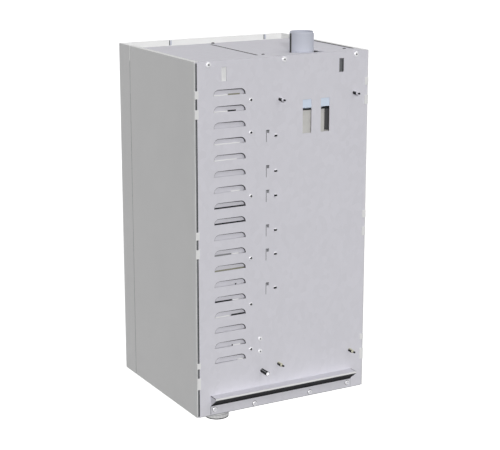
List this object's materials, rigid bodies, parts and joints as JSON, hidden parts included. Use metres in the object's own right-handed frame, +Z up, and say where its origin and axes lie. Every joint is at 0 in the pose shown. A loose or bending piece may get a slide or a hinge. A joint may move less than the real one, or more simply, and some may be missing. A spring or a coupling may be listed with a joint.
{
  "type": "wall-hung electric boiler",
  "caption": "Wall-hung electric heating boiler: louvred galvanised back, painted casing and hinged door, insulated tank with heaters, flow and return pipes, switchgear and controls.",
  "frame": {"origin": "midway between the two hanging slots, on the back panel's outer face", "axes": "+Z up, +Y out of the back towards the wall, -Y towards the door, +X towards the cable and switchgear side"},
  "size_m": [0.4433, 0.4335, 0.869],
  "materials": {
    "painted_casing": "fine matt powder coat, light warm grey",
    "galvanised_sheet": "galvanised sheet with a faint spangle",
    "zinc_steel": "bright zinc plating",
    "yellow_zinc": "yellow chromated zinc",
    "dark_steel": "blackened",
    "bright_steel": "polished",
    "tank_steel": "blue-grey primer",
    "pipe_steel": "blue-grey primer, smooth",
    "insulation": "closed-cell foam with a beige-grey skin",
    "black_plastic": "matt",
    "grey_plastic": "satin",
    "light_plastic": "satin",
    "red_plastic": "satin",
    "blue_plastic": "satin",
    "heater_alloy": "annealed, straw-tinted",
    "valve_brass": "machined",
    "display_glass": "smoked, clear",
    "circuit_board": "solder-masked board"
  },
  "bodies": {
    "cabinet": {"rear_panel": "galvanised_sheet", "side_panel_right": "painted_casing", "side_panel_left": "painted_casing", "top_plate_electric": "galvanised_sheet", "top_plate_hydraulic": "galvanised_sheet", "bottom_tray": "galvanised_sheet", "front_top_rail": "painted_casing", "partition_wall": "galvanised_sheet", "partition_angle_1": "galvanised_sheet", "partition_angle_2": "galvanised_sheet", "partition_angle_3": "galvanised_sheet", "wall_spacer": "galvanised_sheet", "top_screws": "zinc_steel", "partition_screws": "zinc_steel", "dark_screws": "dark_steel", "rivets": "zinc_steel", "spacer_screws": "zinc_steel", "tank_bolts_upper": "dark_steel", "tank_bolts_lower": "yellow_zinc", "earth_stud": "bright_steel", "earth_nut": "bright_steel", "gland_body": "light_plastic", "gland_cap": "light_plastic", "gland_locknut": "light_plastic", "tank_shell": "tank_steel", "tank_jacket": "insulation", "tank_bracket_upper": "tank_steel", "tank_bracket_lower": "tank_steel", "tank_sensor": "black_plastic", "flow_pipe": "pipe_steel", "return_pipe": "pipe_steel", "air_vent": "valve_brass", "heater_plugs": "valve_brass", "heater_loops": "heater_alloy", "heater_caps": "black_plastic", "safety_valve": "valve_brass", "din_rails": "zinc_steel", "contactor_1": "grey_plastic", "contactor_2": "grey_plastic", "contactor_3": "grey_plastic", "breaker": "light_plastic", "terminal_block": "grey_plastic", "temperature_limiter": "black_plastic", "hinge_frame_leaves": "zinc_steel", "hinge_pins": "zinc_steel"},
    "door": {"door_shell": "painted_casing", "hinge_door_leaves": "zinc_steel", "control_fascia": "black_plastic", "display_window": "display_glass", "control_board": "circuit_board", "main_switch_body": "grey_plastic"},
    "lock": {"door_lock": "bright_steel"},
    "knob": {"temperature_knob": "black_plastic"},
    "key_down": {"button_down": "light_plastic"},
    "key_up": {"button_up": "light_plastic"},
    "key_mode": {"button_mode": "light_plastic"},
    "switch_handle": {"main_switch_handle": "red_plastic"},
    "toggle": {"breaker_toggle": "blue_plastic"},
    "reset": {"reset_button": "red_plastic"},
    "valve_cap": {"safety_valve_cap": "red_plastic"}
  },
  "joints": [
    {"name": "door_swing", "type": "hinge", "parent": "cabinet", "child": "door", "pos_m": [-0.2218, -0.3245, -0.3855], "axis": [0, 0, -1], "range_deg": [0, 110]},
    {"name": "lock_turn", "type": "hinge", "parent": "door", "child": "lock", "pos_m": [0.1855, -0.384, -0.3655], "axis": [0, 1, 0], "range_deg": [0, 90]},
    {"name": "knob_turn", "type": "hinge", "parent": "door", "child": "knob", "pos_m": [0.047, -0.387, -0.1025], "axis": [0, 1, 0], "range_deg": [-135, 135]},
    {"name": "key_down_press", "type": "slide", "parent": "door", "child": "key_down", "axis": [0, 1, 0], "range_m": [0, 0.0015], "stiffness_N_per_m": 400},
    {"name": "key_up_press", "type": "slide", "parent": "door", "child": "key_up", "axis": [0, 1, 0], "range_m": [0, 0.0015], "stiffness_N_per_m": 400},
    {"name": "key_mode_press", "type": "slide", "parent": "door", "child": "key_mode", "axis": [0, 1, 0], "range_m": [0, 0.0015], "stiffness_N_per_m": 400},
    {"name": "main_switch_turn", "type": "hinge", "parent": "door", "child": "switch_handle", "pos_m": [0.055, -0.387, -0.2305], "axis": [0, 1, 0], "range_deg": [0, 90]},
    {"name": "breaker_switch", "type": "hinge", "parent": "cabinet", "child": "toggle", "pos_m": [0.11035, -0.085, -0.1805], "axis": [0, 1, 0], "range_deg": [-35, 35]},
    {"name": "limiter_reset", "type": "slide", "parent": "cabinet", "child": "reset", "axis": [-1, 0, 0], "range_m": [0, 0.002], "stiffness_N_per_m": 400},
    {"name": "valve_cap_turn", "type": "hinge", "parent": "cabinet", "child": "valve_cap", "pos_m": [-0.08557, -0.29, -0.1605], "axis": [0, 1, 0], "range_deg": [0, 90]}
  ]
}
